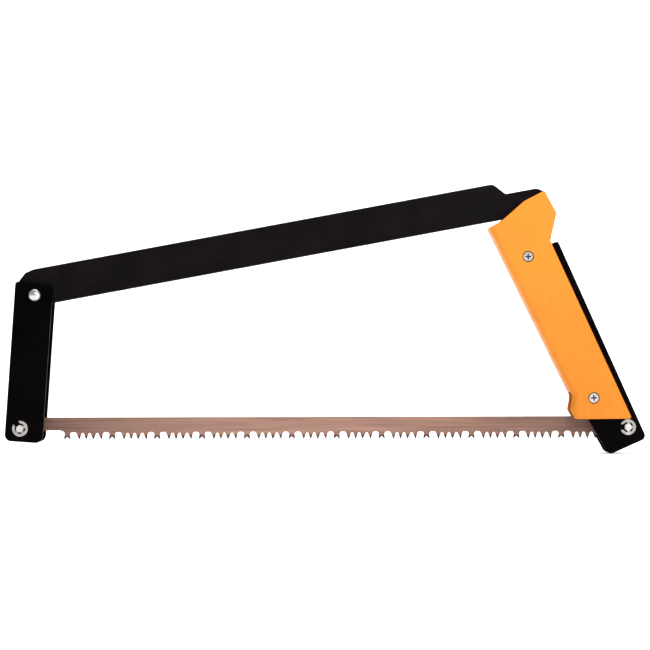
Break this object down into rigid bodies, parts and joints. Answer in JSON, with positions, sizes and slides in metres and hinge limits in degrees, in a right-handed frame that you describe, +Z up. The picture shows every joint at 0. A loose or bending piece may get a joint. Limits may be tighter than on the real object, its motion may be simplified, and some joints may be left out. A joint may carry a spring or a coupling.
{
  "type": "bow saw",
  "caption": "Folding bow saw with a black channel frame, an orange two-part pistol grip and a thin peg-and-raker blade.",
  "frame": {"origin": "bottom centre of the saw standing as in use, blade down: under the middle of its length and width, at its lowest edge", "axes": "+X along the blade from the front arm to the handle, +Y across the saw to its right side, +Z up towards the top bar"},
  "size_m": [0.551, 0.028, 0.2311],
  "materials": {
    "grip_plastic": "moulded orange plastic, satin",
    "black_anodised": "black anodised, satin",
    "blade_steel": "oiled spring steel with darker hardened teeth",
    "bright_steel": "zinc plated",
    "nylon": "plain nylon"
  },
  "bodies": {
    "handle": {"left_grip": "grip_plastic", "right_grip": "grip_plastic", "grip_screw": "bright_steel", "grip_nut": "bright_steel", "grip_spacer": "bright_steel", "lever_pivot_screws": "bright_steel", "lever_pivot_bushes": "bright_steel", "lever_pivot_nuts": "bright_steel", "top_bar_pivot_pin": "bright_steel", "top_bar_pivot_washers": "nylon", "top_bar_pivot_spacer": "bright_steel"},
    "top_bar": {"top_bar": "black_anodised", "front_pivot_spacer": "bright_steel", "front_pivot_washers": "nylon"},
    "front_rivet": {"front_pivot_rivet": "bright_steel"},
    "front_arm": {"front_arm": "black_anodised", "front_blade_pins": "bright_steel", "front_clips": "bright_steel", "front_blade_spacers": "nylon"},
    "rear_bar": {"rear_bar": "black_anodised"},
    "rear_pin": {"rear_blade_pin": "bright_steel", "rear_clips": "bright_steel", "rear_blade_spacers": "nylon"},
    "blade": {"saw_blade": "blade_steel"}
  },
  "joints": [
    {"name": "fold", "type": "hinge", "parent": "handle", "child": "top_bar", "pos_m": [0.17358, 0, 0.21127], "axis": [0, 1, 0], "range_deg": [0, 62]},
    {"name": "lever", "type": "hinge", "parent": "handle", "child": "rear_bar", "pos_m": [0.22946, 0, 0.04772], "axis": [0, 1, 0], "range_deg": [0, 35]},
    {"name": "front_rivet_turn", "type": "hinge", "parent": "top_bar", "child": "front_rivet", "pos_m": [-0.24934, 0, 0.13573], "axis": [0, 1, 0], "range_deg": [0, 10]},
    {"name": "front_arm_fold", "type": "hinge", "parent": "front_rivet", "child": "front_arm", "pos_m": [-0.24934, 0, 0.13573], "axis": [0, 1, 0], "range_deg": [-90, 0]},
    {"name": "rear_pin_turn", "type": "hinge", "parent": "rear_bar", "child": "rear_pin", "pos_m": [0.25915, 0, 0.0227], "axis": [0, 1, 0], "range_deg": [-34, 0]},
    {"name": "blade_fold", "type": "hinge", "parent": "rear_pin", "child": "blade", "pos_m": [0.25915, 0, 0.0227], "axis": [0, 1, 0], "range_deg": [0, 54]}
  ],
  "couplings": [
    {"joint": "front_rivet_turn", "follows": "lever", "ratio": 0.272},
    {"joint": "front_arm_fold", "follows": "fold", "ratio": -1.4413},
    {"joint": "rear_pin_turn", "follows": "lever", "ratio": -0.9465},
    {"joint": "blade_fold", "follows": "fold", "ratio": 0.8531}
  ]
}
